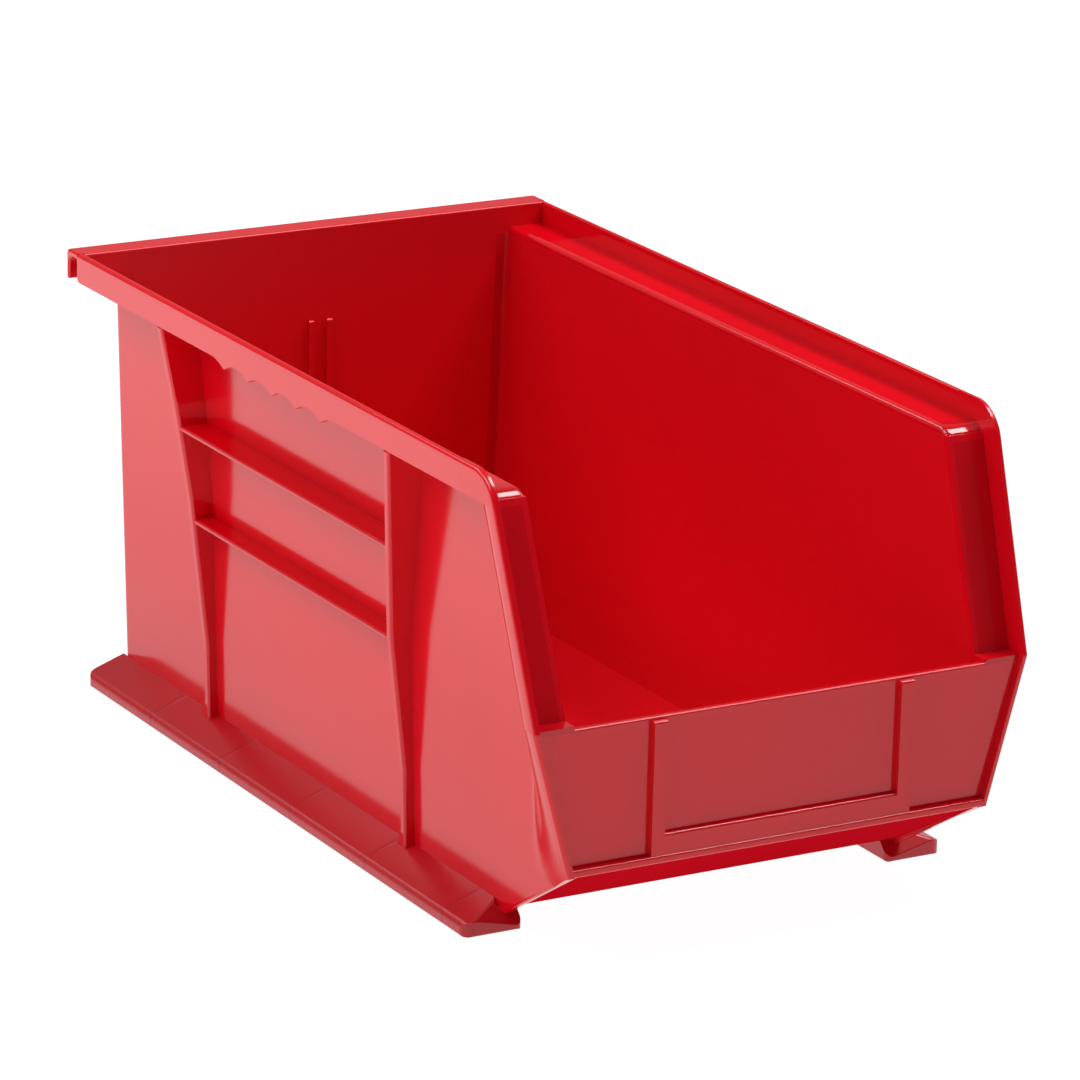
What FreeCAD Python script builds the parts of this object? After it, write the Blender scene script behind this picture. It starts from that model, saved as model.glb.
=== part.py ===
import FreeCAD, Part
import math
import os
from FreeCAD import Vector

# Stackable storage bin with a hopper front, moulded in polypropylene.
# Frame: X to the right seen from the front, Y towards the back, Z up, in millimetres.
# The origin is on the plane the bin rests on, midway between its sides and its ends.

# Overall size
length = 374.65
width = 209.55
height = 177.8

# Thicknesses
wall = 2.4
rim_thickness = 2.5
front_wall_lip = 3.0
ledge_thickness = 2.6
rib_thickness = 2.2
post_thickness = 4.2

# Stepped top of each side: a rim, then the ledge that carries the bin above
rim_height = 8.8
rim_outer_radius = 1.6
rim_inner_radius = 0.8
ledge_width = 15.2
ledge_radius = 2.2
return_top_length = 8.5
return_top_radius = 7.5

# Side walls and base
floor_height = 8.0
wall_foot_x = 84.5
runner_outer_x = 101.0
runner_inner_x = 77.0
runner_edge_height = 4.8
runner_root_height = 10.6
runner_front_radius = 4.5
runner_foot_radius = 3.0
runner_edge_radius = 3.0
nose_top_radius = 1.6
nose_front_radius = 0.8
nose_crease = [(84.0, -131.0, 10.0), (97.0, -137.0, 7.0), (84.0, -138.0, 3.0)]
rear_wall_y = 177.6
rear_corner_radius = 4.6
inner_corner_radius = 2.0
corner_leg = 8.0

# Hanging lip across the back
lip_depth = 12.0
lip_inner_radius = 3.2
lip_thickness = 2.2
lip_top_thickness = 2.6
guide_rib_spans = {"left": (-4.4, -2.2), "right": (3.7, 5.9)}
guide_rib_depth = 1.6
guide_rib_top = 140.0

# Hopper front
rim_corner_y = -156.3
rim_corner_radius = 16.0
knee_height = 92.0
knee_x = 102.2
toe_height = 39.6
toe_x = 88.0
flange_depth = 8.8
flange_flat = 3.0
flange_ramp = 25.0
ramp_front_pull = 15.0
ramp_rear_pull = 8.0
flange_ramp_foot = 29.6
panel_top_recess = 2.5
panel_toe_recess = 2.9
floor_front_y = -138.0
chamfer_recess = 3.0
lip_end_y = -130.0
lip_end_z = 2.6
lip_radius = 1.1
front_wall_top = 90.8

# Hand grip band under each rim
band_height = 11.4
finger_pitch = 19.6
finger_drop = 3.0
finger_count = 4
finger_rear_y = 49.0
finger_bulge = 0.22
band_end_radius = 2.0

# Frame on each side: two posts and two ribs between them
post_paths = {
    "rear": [(100.0, 92.8), (137.0, 97.4), (166.4, 103.3)],
    "front": [(91.0, -69.0), (166.4, -81.5)],
}
post_bend_radius = 40.0
post_edge_radius = 1.2
post_flare = 2.6
post_flare_height = 5.0
post_toe_height = 40.0
post_toe_depth = 3.8
rib_setback = 0.2
upper_rib_z = 128.4
lower_rib_z = 91.6

# Front label frame
label_rib_x = 51.0
label_rib_width = 5.4
label_rib_depth = 2.3
label_cap_fall = 1.2
label_band_top = 47.5
toe_flange_thickness = 2.8

edge_radius = 1.0
plane_reach = 12.0

# Derived places
half_width = width / 2
rear_y = length / 2
front_y = -length / 2
ledge_z = height - rim_height
ledge_under_z = ledge_z - ledge_thickness
rim_inner_x = half_width - rim_thickness
wall_top_x = rim_inner_x - ledge_width + wall
wall_draft = (wall_top_x - wall_foot_x) / (ledge_z - floor_height)
front_slope = (rim_corner_y - front_y) / (height - knee_height)
slope_stretch = math.hypot(1.0, front_slope)
corner_start_y = rim_corner_y + 22.0
return_back = flange_depth + wall
band_z = height - band_height
toe_z = toe_height - toe_flange_thickness
lip_start_y = front_y + 1.0
lip_slope = (toe_z - lip_end_z) / (lip_end_y - lip_start_y)


def wall_x(z):
    """Outer face of the side wall at height z."""
    return wall_foot_x + (z - floor_height) * wall_draft


def slope_y(z, inset):
    """Line parallel to the hopper's front slope, inset behind it, at height z."""
    return front_y + (z - knee_height) * front_slope + inset * slope_stretch


def flange_x(z):
    """Outer face of the front flange at height z."""
    if z >= band_z:
        return half_width
    if z >= knee_height:
        return knee_x + (z - knee_height) * (half_width - knee_x) / (band_z - knee_height)
    return toe_x + (z - toe_height) * (knee_x - toe_x) / (knee_height - toe_height)


def front_line(z, inset):
    """Hopper front seen from the side, inset behind its edge: upright below the knee, sloped above."""
    return slope_y(max(z, knee_height), inset)


def panel_y(z):
    """Outer face of the front wall at height z."""
    fall = (knee_height - z) / (knee_height - toe_height)
    return front_y + panel_top_recess + fall * (panel_toe_recess - panel_top_recess)


def lip_z(y):
    """Lower edge of the side wall, from the toe back and down to the runner's nose."""
    return toe_z - (y - lip_start_y) * lip_slope


def outline(corners, place):
    """Closed run of straight edges through (u, v, radius) corners, rounded where radius > 0.

    place turns a point of the drawing into a point in space.
    """
    count = len(corners)
    starts = []
    ends = []
    arcs = []
    for index in range(count):
        u, v, radius = corners[index]
        here = Vector(u, v, 0)
        before = Vector(corners[index - 1][0], corners[index - 1][1], 0)
        after = Vector(corners[(index + 1) % count][0], corners[(index + 1) % count][1], 0)
        if radius <= 0:
            starts.append(here)
            ends.append(here)
            arcs.append(None)
            continue
        inward = (before - here).normalize()
        outward = (after - here).normalize()
        half_angle = inward.getAngle(outward) / 2
        setback = radius / math.tan(half_angle)
        centre = here + (inward + outward).normalize() * (radius / math.sin(half_angle))
        middle = centre + (here - centre).normalize() * radius
        starts.append(here + inward * setback)
        ends.append(here + outward * setback)
        arcs.append(middle)
    edges = []
    for index in range(count):
        if arcs[index] is not None:
            through = [place(point) for point in (starts[index], arcs[index], ends[index])]
            edges.append(Part.Arc(*through).toShape())
        following = starts[(index + 1) % count]
        if (following - ends[index]).Length > 1e-6:
            edges.append(Part.LineSegment(place(ends[index]), place(following)).toShape())
    return Part.Face(Part.Wire(edges))


def side_profile(corners, x_from, x_to):
    """Prism along X of an outline drawn in (y, z)."""
    face = outline(corners, lambda point: Vector(x_from, point.x, point.y))
    return face.extrude(Vector(x_to - x_from, 0, 0))


def end_profile(corners, y_from, y_to):
    """Prism along Y of an outline drawn in (x, z)."""
    face = outline(corners, lambda point: Vector(point.x, y_from, point.y))
    return face.extrude(Vector(0, y_to - y_from, 0))


def plan_profile(corners, z_from, z_to):
    """Prism along Z of an outline drawn in (x, y)."""
    face = outline(corners, lambda point: Vector(point.x, point.y, z_from))
    return face.extrude(Vector(0, 0, z_to - z_from))


def sharp(points):
    return [(u, v, 0) for u, v in points]


def box(x_from, x_to, y_from, y_to, z_from, z_to):
    corner = Vector(x_from, y_from, z_from)
    return Part.makeBox(x_to - x_from, y_to - y_from, z_to - z_from, corner)


def mirrored(shape):
    return shape.mirror(Vector(0, 0, 0), Vector(1, 0, 0))


def soften(shape, radius, chosen):
    """Round the edges whose ends and middle all pass the chosen test."""
    edges = []
    for edge in shape.Edges:
        middle = edge.valueAt((edge.FirstParameter + edge.LastParameter) / 2)
        points = [vertex.Point for vertex in edge.Vertexes] + [middle]
        if all(chosen(point) for point in points):
            edges.append(edge)
    return shape.makeFillet(radius, edges)


def near(value, target, reach=0.02):
    return abs(value - target) < reach


def inner_span(y_from, y_to, z_from, z_to, inset=wall):
    """Space between the side walls, inset from their outer faces and wider at the top."""
    low = wall_x(z_from) - inset
    high = wall_x(z_to) - inset
    return end_profile(sharp([(-low, z_from), (low, z_from), (high, z_to), (-high, z_to)]), y_from, y_to)


def make_floor_pan(side_walls):
    front = floor_front_y + chamfer_recess
    pan = inner_span(front, rear_wall_y - wall, floor_height, floor_height + wall)
    for side_wall in side_walls:
        pan = pan.cut(side_wall)
    return pan


def make_rear_wall():
    face = rear_wall_y - wall
    plate = inner_span(face, rear_wall_y, floor_height, ledge_under_z, corner_leg)
    head = box(-rim_inner_x, rim_inner_x, face, rear_wall_y, ledge_under_z, height)
    head = soften(head, rim_inner_radius, lambda p: near(p.z, height) and near(p.y, face))
    return plate.fuse(head)


def make_rear_hanger_lip():
    section = [
        (rear_wall_y, height, 0),
        (rear_y, height, rim_outer_radius),
        (rear_y, height - lip_depth, edge_radius),
        (rear_y - lip_thickness, height - lip_depth, edge_radius),
        (rear_y - lip_thickness, height - lip_top_thickness, lip_inner_radius),
        (rear_wall_y, height - lip_top_thickness, 0),
    ]
    lip = side_profile(section, -half_width, half_width)
    return soften(lip, edge_radius, lambda p: near(abs(p.x), half_width) and near(p.y, rear_y))


def make_guide_rib(x_from, x_to):
    back = rear_wall_y - wall
    foot = floor_height + wall
    section = [
        (back - guide_rib_depth, foot, 0),
        (back - guide_rib_depth, guide_rib_top, edge_radius),
        (back, guide_rib_top, 0),
        (back, foot, 0),
    ]
    return side_profile(section, x_from, x_to)


def make_side_wall():
    """Drafted side wall that turns the rear corner and stands proud of the chamfer wall below."""
    low = floor_height - 6.0
    rise = ledge_under_z - low
    outer = wall_x(low)
    plan = outline(
        [
            (outer, front_y, 0),
            (outer, rear_wall_y, rear_corner_radius),
            (outer - corner_leg, rear_wall_y, 0),
            (outer - corner_leg, rear_wall_y - wall, 0),
            (outer - wall, rear_wall_y - wall, inner_corner_radius),
            (outer - wall, front_y, 0),
        ],
        lambda point: Vector(point.x, point.y, low),
    )
    slab = plan.extrude(Vector(rise * wall_draft, 0, rise))
    profile = side_profile(
        sharp([
            (rear_wall_y + 1.0, floor_height),
            (rear_wall_y + 1.0, ledge_under_z + 1.0),
            (slope_y(ledge_under_z + 1.0, return_back), ledge_under_z + 1.0),
            (slope_y(knee_height, return_back), knee_height),
            (panel_y(toe_height) + wall, toe_height),
            (panel_y(toe_height) + wall, toe_z),
            (lip_start_y, toe_z),
            (lip_end_y, lip_end_z),
            (lip_end_y + 2.0, floor_height),
        ]),
        0,
        half_width,
    )
    return soften(
        slab.common(profile),
        lip_radius,
        lambda p: near(p.x, wall_x(p.z)) and near(p.z, lip_z(p.y)),
    )


def return_rear_y():
    """Where the top of the front return ends and the stacking ledge begins."""
    return slope_y(ledge_z, flange_depth) + return_top_length


def make_stacking_ledge(rear_corner):
    inner = wall_top_x - wall
    plate = box(inner, rim_inner_x, return_rear_y(), rear_wall_y - wall, ledge_under_z, ledge_z)
    plate = soften(plate, ledge_radius, lambda p: near(p.z, ledge_z) and near(p.x, inner))
    return plate.cut(rear_corner)


def make_side_rim():
    section = [
        (rim_inner_x, ledge_z, 0),
        (half_width, ledge_z, 0),
        (half_width, height, rim_outer_radius),
        (rim_inner_x, height, rim_inner_radius),
    ]
    return end_profile(section, corner_start_y, rear_wall_y)


def make_grip_band():
    """Band under the rim whose lower edge waves down into cusps between the fingers."""
    cusps = [finger_rear_y - index * finger_pitch for index in range(finger_count + 1)]
    wave_start = Vector(rim_inner_x, cusps[0] + finger_pitch / 2, band_z)
    wave_end = Vector(rim_inner_x, cusps[-1] - finger_pitch / 2, band_z)
    edges = []
    for index, cusp_y in enumerate(cusps):
        tip = Vector(rim_inner_x, cusp_y, band_z - finger_drop)
        behind = Vector(rim_inner_x, cusp_y + finger_pitch / 2, band_z)
        ahead = Vector(rim_inner_x, cusp_y - finger_pitch / 2, band_z)
        falling = (behind * 0.45 + tip * 0.55) + Vector(0, 0, finger_drop * finger_bulge)
        rising = (ahead * 0.45 + tip * 0.55) + Vector(0, 0, finger_drop * finger_bulge)
        edges.append(Part.Arc(behind, falling, tip).toShape())
        edges.append(Part.Arc(tip, rising, ahead).toShape())
    outline_points = [
        wave_end,
        Vector(rim_inner_x, corner_start_y, band_z),
        Vector(rim_inner_x, corner_start_y, ledge_z),
        Vector(rim_inner_x, rear_wall_y, ledge_z),
        Vector(rim_inner_x, rear_wall_y, band_z),
        wave_start,
    ]
    for first, second in zip(outline_points, outline_points[1:]):
        edges.append(Part.LineSegment(first, second).toShape())
    band = Part.Face(Part.Wire(edges)).extrude(Vector(rim_thickness, 0, 0))
    return soften(band, band_end_radius, lambda p: near(p.y, rear_wall_y) and near(p.z, band_z))


def flange_outer_span(offset):
    heights = [flange_ramp_foot, toe_height, knee_height, band_z, height + 2]
    return [(flange_x(z) - offset, z) for z in heights]


def make_flange_sheet():
    """Front edge strip of the side: down the hopper slope, round the knee and on to the toe."""
    sheet = end_profile(
        sharp(flange_outer_span(0) + flange_outer_span(rim_thickness)[::-1]),
        front_y - 2,
        corner_start_y,
    )
    profile = side_profile(
        [
            (corner_start_y, height, 0),
            (rim_corner_y, height, rim_corner_radius),
            (front_y, knee_height, 0),
            (front_y, toe_z, 0),
            (front_y + flange_flat, lip_z(front_y + flange_flat), 0),
            (front_line(knee_height, flange_flat), knee_height, 0),
            (front_line(band_z, flange_flat), band_z, 0),
            (corner_start_y, band_z, 0),
        ],
        wall_foot_x - 5.0,
        half_width,
    )
    return soften(
        sheet.common(profile),
        rim_outer_radius,
        lambda p: near(p.x, flange_x(p.z))
        and (near(p.z, height) or p.y < front_line(p.z, flange_flat / 2)),
    )


def ramp_section(z):
    """Plan outline at height z of the curve that carries the flange back into the side wall."""
    start = front_line(z, flange_flat)
    end = front_line(z, flange_flat + flange_ramp)
    low_x = wall_x(z)
    high_x = flange_x(z)
    curve = Part.BezierCurve()
    curve.setPoles([
        Vector(high_x, start, z),
        Vector(high_x, start + ramp_front_pull, z),
        Vector(low_x, end - ramp_rear_pull, z),
        Vector(low_x, end, z),
    ])
    inside = low_x - wall
    points = [
        Vector(low_x, end, z),
        Vector(inside, end, z),
        Vector(inside, start, z),
        Vector(high_x, start, z),
    ]
    edges = [curve.toShape()]
    for first, second in zip(points, points[1:]):
        edges.append(Part.LineSegment(first, second).toShape())
    return Part.Wire(edges)


def make_mouth():
    """Space in front of the cheek and the front wall, between the two flanges."""
    profile = side_profile(
        sharp([
            (front_y - 1.0, flange_ramp_foot),
            (panel_y(flange_ramp_foot), flange_ramp_foot),
            (panel_y(knee_height), knee_height),
            (slope_y(knee_height, flange_depth), knee_height),
            (slope_y(height, flange_depth), height),
            (front_y - 1.0, height),
        ]),
        0,
        half_width,
    )
    half = flange_outer_span(rim_thickness)
    span = end_profile(sharp(half + [(0, half[-1][1]), (0, half[0][1])]), front_y - 1.0, 0)
    return profile.common(span)


def make_front_flange(side_wall, front_return, front_wall):
    sheet = make_flange_sheet()
    heights = [flange_ramp_foot, toe_height, knee_height, ledge_under_z]
    above_lip = side_profile(
        sharp([
            (front_y - 1.0, lip_z(front_y - 1.0)),
            (0, lip_z(0)),
            (0, height),
            (front_y - 1.0, height),
        ]),
        0,
        half_width,
    )
    whole = sheet
    for low, high in zip(heights, heights[1:]):
        ramp = Part.makeLoft([ramp_section(low), ramp_section(high)], True, True)
        whole = whole.fuse(ramp.common(above_lip))
    for neighbour in (side_wall, front_return, front_wall, make_mouth()):
        whole = whole.cut(neighbour)
    return whole


def make_front_return():
    """Sloped inner cheek of the hopper front, rounded over the top into the stacking ledge."""
    rear_end = return_rear_y()
    low = knee_height - 6.0
    profile = side_profile(
        [
            (panel_y(low), low, 0),
            (panel_y(knee_height), knee_height, 0),
            (slope_y(knee_height, flange_depth), knee_height, 0),
            (slope_y(ledge_z, flange_depth), ledge_z, return_top_radius),
            (rear_end, ledge_z, 0),
            (rear_end, ledge_under_z, 0),
            (slope_y(ledge_under_z, return_back), ledge_under_z, 0),
            (slope_y(low, return_back), low, 0),
        ],
        wall_foot_x - 10.0,
        half_width,
    )
    top = ledge_z + 1.0
    inner = [(wall_x(z) - wall, z) for z in (low, top)]
    outer = [(flange_x(z) - rim_thickness, z) for z in (low, knee_height, band_z, top)]
    span = end_profile(sharp(inner + outer[::-1]), front_y, rear_y)
    return soften(
        span.common(profile),
        ledge_radius,
        lambda p: near(p.x, wall_x(p.z) - wall)
        and p.z > knee_height - 0.1
        and (p.z > ledge_under_z + wall / 2 or p.y < slope_y(p.z, flange_depth + wall / 2)),
    )


def make_front_wall():
    low = toe_z
    top = front_wall_top
    slab = side_profile(
        [
            (panel_y(low), low, 0),
            (panel_y(top), top, 0.8),
            (panel_y(top) + front_wall_lip, top, 0.8),
            (panel_y(low) + wall, low, 0),
        ],
        -half_width,
        half_width,
    )
    half = [(flange_x(z) - rim_thickness, z) for z in (low, toe_height, knee_height)]
    span = end_profile(sharp([(-x, z) for x, z in half] + half[::-1]), front_y, 0)
    return slab.common(span)


def make_label_rib(x):
    low = toe_height
    top = front_wall_top
    section = [
        (panel_y(low), low, 0),
        (panel_y(low) - label_rib_depth, low, 0),
        (panel_y(top) - label_rib_depth, top - label_cap_fall, edge_radius),
        (panel_y(top), top - edge_radius, 0),
    ]
    return side_profile(section, x - label_rib_width / 2, x + label_rib_width / 2)


def make_label_base_band():
    low = toe_height
    top = label_band_top
    section = [
        (panel_y(low), low, 0),
        (panel_y(low) - label_rib_depth, low, 0),
        (panel_y(top) - label_rib_depth, top, edge_radius),
        (panel_y(top), top, 0),
    ]
    reach = label_rib_x - label_rib_width / 2
    return side_profile(section, -reach, reach)


def make_toe_flange(flanges):
    section = [
        (front_y, toe_z, 0.8),
        (front_y, toe_height, 0.8),
        (panel_y(toe_height), toe_height, 0),
        (panel_y(toe_z), toe_z, 0),
    ]
    reach = flange_x(toe_height) - rim_thickness
    shelf = side_profile(section, -reach, reach)
    for flange in flanges:
        shelf = shelf.cut(flange)
    return shelf


def make_chamfer_wall():
    foot_y = floor_front_y + chamfer_recess
    section = sharp([
        (lip_start_y, toe_z),
        (foot_y, floor_height),
        (foot_y, floor_height + wall),
        (panel_y(toe_z) + wall, toe_z),
    ])
    body = side_profile(section, -half_width, half_width)
    return body.common(inner_span(front_y, 0, floor_height, toe_z + 1))


def plane_frame(points):
    """Centre and upward unit normal of the plane through three points."""
    first, second, third = [Vector(*point) for point in points]
    normal = (second - first).cross(third - first).normalize()
    if normal.z < 0:
        normal = normal * -1
    return (first + second + third) / 3, normal


def beyond_plane(points, depth):
    """Wedge on the far side of the plane through three points, to cut a slanted face."""
    centre, normal = plane_frame(points)
    spread = [centre + (Vector(*point) - centre) * plane_reach for point in points]
    face = Part.Face(Part.makePolygon(spread + spread[:1]))
    return face.extrude(normal * depth)


def on_plane(points):
    """Test for points that lie on the plane through three points."""
    centre, normal = plane_frame(points)
    return lambda p: near((p - centre).dot(normal), 0)


def make_base_runner():
    root_x = wall_x(runner_root_height)
    outer = [
        (runner_inner_x, 0, 0.6),
        (runner_inner_x, floor_height, 0),
        (wall_x(floor_height), floor_height, 0),
        (root_x, runner_root_height, 0),
        (runner_outer_x, runner_edge_height, runner_edge_radius),
        (runner_outer_x, 0, 0.8),
    ]
    body = end_profile(outer, floor_front_y, rear_wall_y).cut(beyond_plane(nose_crease, width))
    on_crease = on_plane(nose_crease)
    body = soften(body, nose_top_radius, lambda p: on_crease(p) and p.z > runner_edge_height)
    body = soften(body, nose_front_radius, lambda p: on_crease(p) and near(p.y, floor_front_y))
    nose = plan_profile(
        [
            (runner_inner_x, floor_front_y, runner_foot_radius),
            (runner_outer_x, floor_front_y, runner_front_radius),
            (runner_outer_x, rear_wall_y, rear_corner_radius),
            (runner_inner_x, rear_wall_y, 0),
        ],
        -1,
        runner_root_height + 1,
    )
    body = body.common(nose)
    hollow = end_profile(
        sharp([
            (runner_inner_x + wall, -1),
            (runner_inner_x + wall, floor_height - wall),
            (wall_x(floor_height), floor_height - wall),
            (runner_outer_x - wall, runner_edge_height - wall),
            (runner_outer_x - wall, -1),
        ]),
        floor_front_y + runner_front_radius + wall,
        rear_wall_y - wall - rear_corner_radius / 2,
    )
    return body.cut(hollow)


def post_outer_x(z):
    """Outer edge of a side post: full depth at the band, narrowing to its toe."""
    if z <= post_toe_height:
        return wall_x(z) + post_toe_depth
    top_x = half_width - 0.3
    toe = wall_x(post_toe_height) + post_toe_depth
    return toe + (z - post_toe_height) * (top_x - toe) / (band_z - post_toe_height)


def make_side_post(path):
    """Post standing on the runner: its front face follows the path, its foot flares to the rear."""
    low = runner_root_height - 5.0
    foot_y = path[0][1]
    front = [(foot_y, low, 0)] + [(y, z, post_bend_radius) for z, y in path[:-1]]
    rear = [(y + post_thickness, z, post_bend_radius) for z, y in path[:-1]]
    top_z, top_y = path[-1]
    front.append((top_y, top_z, 0))
    rear.append((top_y + post_thickness, top_z, 0))
    flare_z = runner_root_height + post_flare_height
    foot = [
        (foot_y + post_thickness, flare_z, post_flare_height),
        (foot_y + post_thickness + post_flare, runner_root_height - 1.0, 0),
        (foot_y + post_thickness + post_flare, low, 0),
    ]
    profile = side_profile(front + rear[::-1] + foot, wall_foot_x - 10.0, half_width)
    heights = [low, post_toe_height, top_z]
    edge = [(post_outer_x(z), z) for z in heights]
    inner = [(wall_x(z), z) for z in (top_z, low)]
    plan = end_profile(sharp(edge + inner), foot_y - 40, foot_y + 40)
    post = plan.common(profile)
    return soften(post, post_edge_radius, lambda p: near(p.x, post_outer_x(p.z)) and low < p.z)


def tallest(shape):
    """The tallest of the solids that a cut leaves."""
    return max(shape.Solids, key=lambda solid: solid.BoundBox.ZLength)


def make_side_rib(z_top, posts):
    z_low = z_top - rib_thickness
    outer_low = post_outer_x(z_low) - rib_setback
    section = [
        (wall_x(z_top), z_top, 0),
        (wall_x(z_low), z_low, 0),
        (outer_low, z_low, edge_radius),
        (outer_low, z_top, edge_radius),
    ]
    rib = end_profile(section, post_paths["front"][-1][1], post_paths["rear"][-1][1])
    for post in posts:
        rib = rib.cut(post)
    return max(rib.Solids, key=lambda solid: solid.BoundBox.YLength)


def build():
    parts = {}
    side_wall = make_side_wall()
    ledge = make_stacking_ledge(side_wall)
    rim = make_side_rim()
    front_wall = make_front_wall()
    for side in (side_wall, mirrored(side_wall)):
        front_wall = front_wall.cut(side)
    front_return = make_front_return().cut(front_wall)
    flange = make_front_flange(side_wall, front_return, front_wall)
    band = make_grip_band().cut(flange)
    runner = make_base_runner().cut(side_wall)
    posts = {}
    for place, path in post_paths.items():
        posts[place] = tallest(make_side_post(path).cut(runner).cut(band))
    upper_rib = make_side_rib(upper_rib_z, posts.values())
    lower_rib = make_side_rib(lower_rib_z, posts.values())
    sided = {
        "side_wall": side_wall,
        "stacking_ledge": ledge,
        "side_rim": rim,
        "grip_band": band,
        "front_flange": flange,
        "front_return": front_return,
        "base_runner": runner,
        "side_post_rear": posts["rear"],
        "side_post_front": posts["front"],
        "side_rib_upper": upper_rib,
        "side_rib_lower": lower_rib,
    }
    for name, shape in sided.items():
        parts[name + "_right"] = shape
        parts[name + "_left"] = mirrored(shape)
    parts["floor_pan"] = make_floor_pan([side_wall, mirrored(side_wall)])
    parts["rear_wall"] = make_rear_wall()
    parts["rear_hanger_lip"] = make_rear_hanger_lip()
    for side, (x_from, x_to) in guide_rib_spans.items():
        parts["guide_rib_" + side] = make_guide_rib(x_from, x_to)
    parts["front_wall"] = front_wall
    parts["label_rib_left"] = make_label_rib(-label_rib_x)
    parts["label_rib_right"] = make_label_rib(label_rib_x)
    parts["label_base_band"] = make_label_base_band()
    parts["toe_flange"] = make_toe_flange([flange, mirrored(flange)])
    parts["chamfer_wall"] = make_chamfer_wall().cut(front_wall)
    return parts


parts = build()
os.makedirs("parts", exist_ok=True)
for name, shape in sorted(parts.items()):
    shape.exportStep("parts/" + name + ".step")
    print(name, len(shape.Solids), shape.isValid(), round(shape.Volume, 1))
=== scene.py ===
import math

import bpy
from mathutils import Matrix, Vector

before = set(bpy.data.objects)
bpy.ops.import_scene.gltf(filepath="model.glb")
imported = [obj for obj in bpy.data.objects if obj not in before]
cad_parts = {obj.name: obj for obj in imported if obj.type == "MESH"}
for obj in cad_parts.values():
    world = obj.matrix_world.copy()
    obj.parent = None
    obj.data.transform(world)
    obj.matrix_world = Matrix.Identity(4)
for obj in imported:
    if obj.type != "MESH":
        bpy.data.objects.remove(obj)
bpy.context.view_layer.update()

# Colours of the moulded polypropylene: each pair is a lighter and a deeper red. Only PLAIN_REDS is the
# plastic's own red; the other pairs are made darker by painted shade or lighter by painted light
PLAIN_REDS = ((0.70, 0.0020, 0.010), (0.60, 0.0012, 0.007))
# Painted shade: darker reds for the runners under the walls and for the chamfer wall under the bin
SHADED_REDS = ((0.49, 0.0035, 0.011), (0.42, 0.0025, 0.009))
# Painted light: lighter reds for the faces of the floor, rear wall and guide ribs that look into the bin
PAINTED_LIGHT_INNER_REDS = ((0.86, 0.0045, 0.016), (0.76, 0.0030, 0.011))
# Painted shade: a red between the plain and the shaded ones, for the front-facing cheeks and the side ribs
# under the band
PAINTED_HALF_SHADE_REDS = (PLAIN_REDS[1], SHADED_REDS[0])

# Finish
IOR = 1.49
BARE_SHEEN = 0.5
GLOSS_ROUGHNESS = 0.045
SATIN_ROUGHNESS = 0.34
FLOW_SCALE = 7.0
FLOW_RANGE = (0.35, 0.75)
FLOW_SHADE = 0.6
RUB_SCALE = 240.0
RUB_GRAIN = 0.65
RUB_RANGE = (0.5, 0.85)
RUB_SPREAD = 0.06
WAVE_SCALE = 30.0
WAVE_HEIGHT = 0.0006
WAVE_STRENGTH = 0.06
WAVE_SATIN_STRENGTH = 0.04
SKIN_SCALE = 800.0
SKIN_HEIGHT = 0.00003
SKIN_STRENGTH = 0.02
RUNNER_LINE_PITCH = 0.060
RUNNER_LINE_WIDTH = 0.0016
RUNNER_LINE_DEPTH = 0.00015
RUNNER_LINE_STRENGTH = 0.5

# Which faces look into the bin: those that face its middle by at least this depth, in metres
BIN_MIDDLE = (0.0, 0.0, 0.10)
INWARD_DEPTH = -0.03

# Pieces that differ from the plain glossy ones
WALL_NODES = ("side_wall_left", "side_wall_right", "front_wall")
# Floor, rear wall and guide ribs: their faces that look into the bin take painted light in lighter reds
LIT_NODES = ("floor_pan", "rear_wall", "guide_rib_left", "guide_rib_right")
# Front cheeks facing the dim front, and side ribs under the band: darker reds paint their shade
PAINTED_HALF_SHADE_NODES = (
    "front_return_left", "front_return_right",
    "side_rib_upper_left", "side_rib_upper_right",
    "side_rib_lower_left", "side_rib_lower_right",
)
# The runners and the chamfer wall take the darker shaded reds, which paint their shade
RUNNER_NODES = ("base_runner_left", "base_runner_right")
SOFT_NODES = ("front_flange_left", "front_flange_right", "toe_flange")
SHADED_NODES = ("chamfer_wall",)

# Camera: angles in degrees, place in metres
CAMERA_YAW = -29.65
CAMERA_PITCH = -17.22
CAMERA_ROLL = 1.25
CAMERA_PLACE = (-1.06991, -1.88817, 0.76933)
CAMERA_LENS = 200.285
CAMERA_SENSOR = 36.0
CAMERA_REACH = 100

# Studio: white surroundings, a pale floor that glows more on the left, and four softboxes
WORLD_FRONT = 0.03
WORLD_REAR = 0.28
FLOOR_SIZE = 14.0
FLOOR_GREY = 0.09
FLOOR_ROUGHNESS = 0.9
FLOOR_SHEEN = 0.1
FLOOR_GLOW = 0.98
FLOOR_GLOW_LEFT = 1.40
FLOOR_GLOW_FROM = -0.18
FLOOR_GLOW_TO = -0.36
LIGHT_TARGET = (0, 0, 0.1)
LIGHTS = (
    # name, place, width, height, power
    ("key_softbox", (-1.5, 0.1, 2.0), 1.4, 1.4, 29),
    ("top_softbox", (1.1, -0.15, 2.3), 1.0, 1.0, 44),
    ("rear_softbox", (-1.2, 1.6, 1.85), 2.0, 0.7, 15),
    ("side_softbox", (2.3, 0.7, 0.95), 1.0, 1.0, 8),
)


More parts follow.
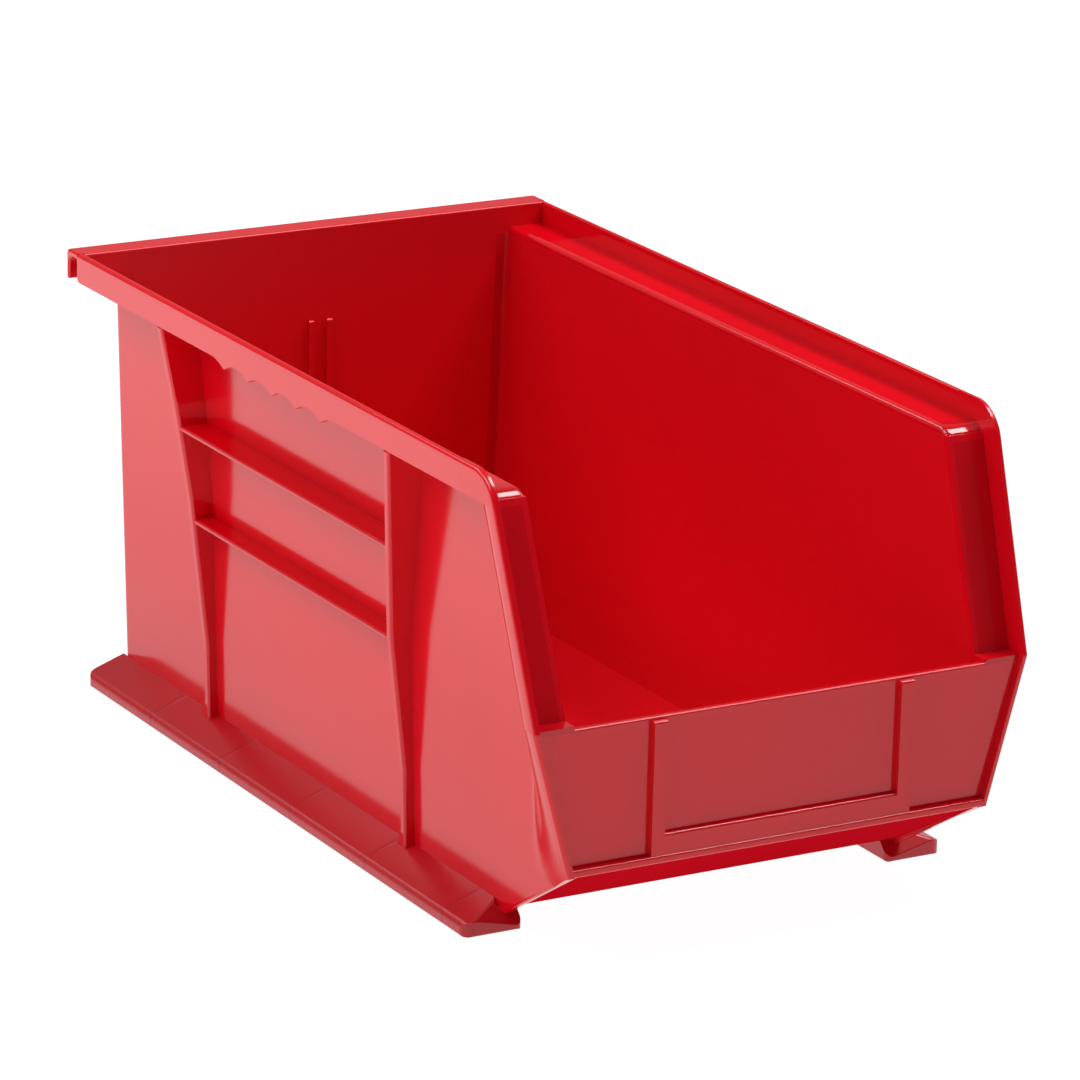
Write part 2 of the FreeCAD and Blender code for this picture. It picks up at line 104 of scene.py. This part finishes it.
def make_camera():
    yaw = math.radians(CAMERA_YAW)
    pitch = math.radians(CAMERA_PITCH)
    roll = math.radians(CAMERA_ROLL)
    looking = Vector((
        -math.sin(yaw) * math.cos(pitch),
        math.cos(yaw) * math.cos(pitch),
        math.sin(pitch),
    ))
    level_right = looking.cross(Vector((0, 0, 1))).normalized()
    level_up = level_right.cross(looking)
    right = level_right * math.cos(roll) + level_up * math.sin(roll)
    up = level_up * math.cos(roll) - level_right * math.sin(roll)
    turned = Matrix((right, up, -looking)).transposed()
    data = bpy.data.cameras.new("camera")
    data.lens = CAMERA_LENS
    data.sensor_width = CAMERA_SENSOR
    data.clip_end = CAMERA_REACH
    camera = bpy.data.objects.new("camera", data)
    camera.matrix_world = Matrix.Translation(CAMERA_PLACE) @ turned.to_4x4()
    bpy.context.scene.collection.objects.link(camera)
    bpy.context.scene.camera = camera


def make_light(name, place, size, size_y, power):
    data = bpy.data.lights.new(name, "AREA")
    data.shape = "RECTANGLE"
    data.size = size
    data.size_y = size_y
    data.energy = power
    light = bpy.data.objects.new(name, data)
    light.location = place
    direction = Vector(LIGHT_TARGET) - Vector(place)
    light.rotation_mode = "QUATERNION"
    light.rotation_quaternion = direction.to_track_quat("-Z", "Y")
    bpy.context.scene.collection.objects.link(light)


class Nodes:
    """Short way to add and join shader nodes in one node tree."""

    def __init__(self, tree):
        self.tree = tree
        self.column = 0

    def add(self, kind, values=None, **settings):
        node = self.tree.nodes.new(kind)
        node.location = (-300 - 180 * (self.column % 8), 300 - 260 * (self.column // 8))
        self.column += 1
        for key, value in settings.items():
            setattr(node, key, value)
        for key, value in (values or {}).items():
            node.inputs[key].default_value = value
        return node

    def join(self, source, target):
        self.tree.links.new(source, target)

    def axis(self, coordinates, index):
        """One of x, y and z of the coordinates."""
        node = self.add("ShaderNodeSeparateXYZ")
        self.join(coordinates, node.inputs[0])
        return node.outputs[index]

    def noise(self, coordinates, scale, detail, roughness=0.5):
        node = self.add("ShaderNodeTexNoise", {"Scale": scale, "Detail": detail, "Roughness": roughness})
        self.join(coordinates, node.inputs["Vector"])
        return node.outputs["Fac"]

    def spread(self, value, low, high, to_low, to_high):
        node = self.add(
            "ShaderNodeMapRange",
            {"From Min": low, "From Max": high, "To Min": to_low, "To Max": to_high},
        )
        self.join(value, node.inputs["Value"])
        return node.outputs["Result"]

    def bump(self, height, distance, strength, normal=None):
        node = self.add("ShaderNodeBump", {"Distance": distance, "Strength": strength})
        self.join(height, node.inputs["Height"])
        if normal is not None:
            self.join(normal, node.inputs["Normal"])
        return node.outputs["Normal"]

    def blend(self, amount, first, second):
        """Colour between first and second, each a fixed colour or another node's output."""
        node = self.add("ShaderNodeMix", data_type="RGBA")
        self.join(amount, node.inputs[0])
        for index, value in ((6, first), (7, second)):
            if isinstance(value, tuple):
                node.inputs[index].default_value = (*value, 1)
            else:
                self.join(value, node.inputs[index])
        return node.outputs[2]

    def math(self, operation, first, second):
        """Sum, product or the like of an output and a number or another output."""
        node = self.add("ShaderNodeMath", operation=operation)
        self.join(first, node.inputs[0])
        if isinstance(second, (int, float)):
            node.inputs[1].default_value = second
        else:
            self.join(second, node.inputs[1])
        return node.outputs[0]

    def facing_inwards(self, place):
        """1 on the faces that look at the middle of the bin, 0 on the others."""
        away = self.add("ShaderNodeVectorMath", {1: BIN_MIDDLE}, operation="SUBTRACT")
        self.join(place, away.inputs[0])
        along = self.add("ShaderNodeVectorMath", operation="DOT_PRODUCT")
        self.join(self.add("ShaderNodeNewGeometry").outputs["Normal"], along.inputs[0])
        self.join(away.outputs["Vector"], along.inputs[1])
        return self.spread(along.outputs["Value"], 0.0, INWARD_DEPTH, 0.0, 1.0)


def make_world():
    """Even white surroundings, brighter behind the bin than in front of it."""
    world = bpy.data.worlds.new("studio")
    world.use_nodes = True
    background = world.node_tree.nodes["Background"]
    background.inputs["Color"].default_value = (1, 1, 1, 1)
    n = Nodes(world.node_tree)
    backwards = n.axis(n.add("ShaderNodeTexCoord").outputs["Generated"], 1)
    n.join(n.spread(backwards, -1, 1, WORLD_FRONT, WORLD_REAR), background.inputs["Strength"])
    bpy.context.scene.world = world


def make_floor():
    half = FLOOR_SIZE / 2
    corners = [(-half, -half, 0), (half, -half, 0), (half, half, 0), (-half, half, 0)]
    mesh = bpy.data.meshes.new("studio_floor")
    mesh.from_pydata(corners, [], [(0, 1, 2, 3)])
    floor = bpy.data.objects.new("studio_floor", mesh)
    bpy.context.scene.collection.objects.link(floor)
    material = bpy.data.materials.new("studio_floor")
    material.use_nodes = True
    shader = material.node_tree.nodes["Principled BSDF"]
    shader.inputs["Base Color"].default_value = (FLOOR_GREY, FLOOR_GREY, FLOOR_GREY, 1)
    shader.inputs["Roughness"].default_value = FLOOR_ROUGHNESS
    shader.inputs["Specular IOR Level"].default_value = FLOOR_SHEEN
    shader.inputs["Emission Color"].default_value = (1, 1, 1, 1)
    n = Nodes(material.node_tree)
    sideways = n.axis(n.add("ShaderNodeTexCoord").outputs["Object"], 0)
    glow = n.spread(sideways, FLOOR_GLOW_FROM, FLOOR_GLOW_TO, FLOOR_GLOW, FLOOR_GLOW_LEFT)
    n.join(glow, shader.inputs["Emission Strength"])
    mesh.materials.append(material)


def make_plastic(
    name,
    satin=0.0,
    inner_satin=False,
    lined=False,
    sheen=BARE_SHEEN,
    reds=PLAIN_REDS,
    painted_light_reds=None,
):
    """Injection-moulded polypropylene: slight flow shading, faint waviness and fine rub marks.

    satin sets how matt the whole surface is, from 0 to 1. inner_satin makes the faces that look
    into the bin fully satin. lined adds the faint cross lines left on the runners. sheen is how
    strongly the surface mirrors. The flow shading runs between the two reds, or between the two
    lighter inner reds, painted light, on the faces that look into the bin. Darker reds passed as reds paint
    shade.
    """
    material = bpy.data.materials.new(name)
    material.use_nodes = True
    shader = material.node_tree.nodes["Principled BSDF"]
    n = Nodes(material.node_tree)
    place = n.add("ShaderNodeTexCoord").outputs["Object"]
    inside = n.facing_inwards(place)

    shade = n.spread(n.noise(place, FLOW_SCALE, 3.0), *FLOW_RANGE, 0.0, FLOW_SHADE)
    if lined:
        along = n.math("PINGPONG", n.axis(place, 1), RUNNER_LINE_PITCH / 2)
        line = n.spread(along, 0.0, RUNNER_LINE_WIDTH, 1.0, 0.0)
        shade = n.math("ADD", shade, line)
    colour = n.blend(shade, *reds)
    # Faces that look into the bin take the lighter inner reds where these are given: painted light
    if painted_light_reds is not None:
        colour = n.blend(inside, colour, n.blend(shade, *painted_light_reds))
    n.join(colour, shader.inputs["Base Color"])

    rub = n.noise(place, RUB_SCALE, 5.0, RUB_GRAIN)
    wear = n.spread(rub, *RUB_RANGE, 0.0, RUB_SPREAD)
    base_roughness = GLOSS_ROUGHNESS + satin * (SATIN_ROUGHNESS - GLOSS_ROUGHNESS)
    roughness = n.math("ADD", wear, base_roughness)
    if inner_satin:
        added = n.math("MULTIPLY", inside, SATIN_ROUGHNESS - base_roughness)
        roughness = n.math("ADD", roughness, added)
    n.join(roughness, shader.inputs["Roughness"])

    wave_strength = WAVE_STRENGTH + WAVE_SATIN_STRENGTH * satin
    relief = n.bump(n.noise(place, WAVE_SCALE, 1.0), WAVE_HEIGHT, wave_strength)
    if lined:
        relief = n.bump(line, RUNNER_LINE_DEPTH, RUNNER_LINE_STRENGTH, relief)
    relief = n.bump(n.noise(place, SKIN_SCALE, 2.0), SKIN_HEIGHT, SKIN_STRENGTH, relief)
    n.join(relief, shader.inputs["Normal"])
    shader.inputs["IOR"].default_value = IOR
    shader.inputs["Specular IOR Level"].default_value = sheen
    return material


def dress():
    """Give each piece of the bin its material."""
    gloss = make_plastic("red_gloss")
    finishes = (
        (WALL_NODES, make_plastic("red_gloss_satin_inside", satin=0.3, inner_satin=True)),
        # Cheeks and side ribs: painted shade in darker reds
        (PAINTED_HALF_SHADE_NODES, make_plastic("red_gloss_painted_half_shade", satin=0.15, reds=PAINTED_HALF_SHADE_REDS)),
        # Floor, rear wall and guide ribs: painted light in lighter reds on their inner faces
        (LIT_NODES, make_plastic("red_gloss_lit_inside", satin=0.3, inner_satin=True, painted_light_reds=PAINTED_LIGHT_INNER_REDS)),
        # Runners: painted shade in the darker reds, plus the real faint cross lines
        (RUNNER_NODES, make_plastic("red_gloss_lined_painted_shade", satin=0.85, lined=True, reds=SHADED_REDS)),
        (SOFT_NODES, make_plastic("red_soft_gloss", satin=0.5)),
        # Chamfer wall: painted shade in the darker reds, fully matt and without reflection
        (SHADED_NODES, make_plastic("red_matt_underside_painted_shade", satin=1.0, sheen=0.0, reds=SHADED_REDS)),
    )
    special = {name: material for names, material in finishes for name in names}
    for name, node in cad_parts.items():
        node.data.materials.clear()
        node.data.materials.append(special.get(name, gloss))


make_camera()
make_world()
make_floor()
for name, place, size, size_y, power in LIGHTS:
    make_light(name, place, size, size_y, power)
dress()

bpy.context.scene.view_settings.view_transform = "Standard"
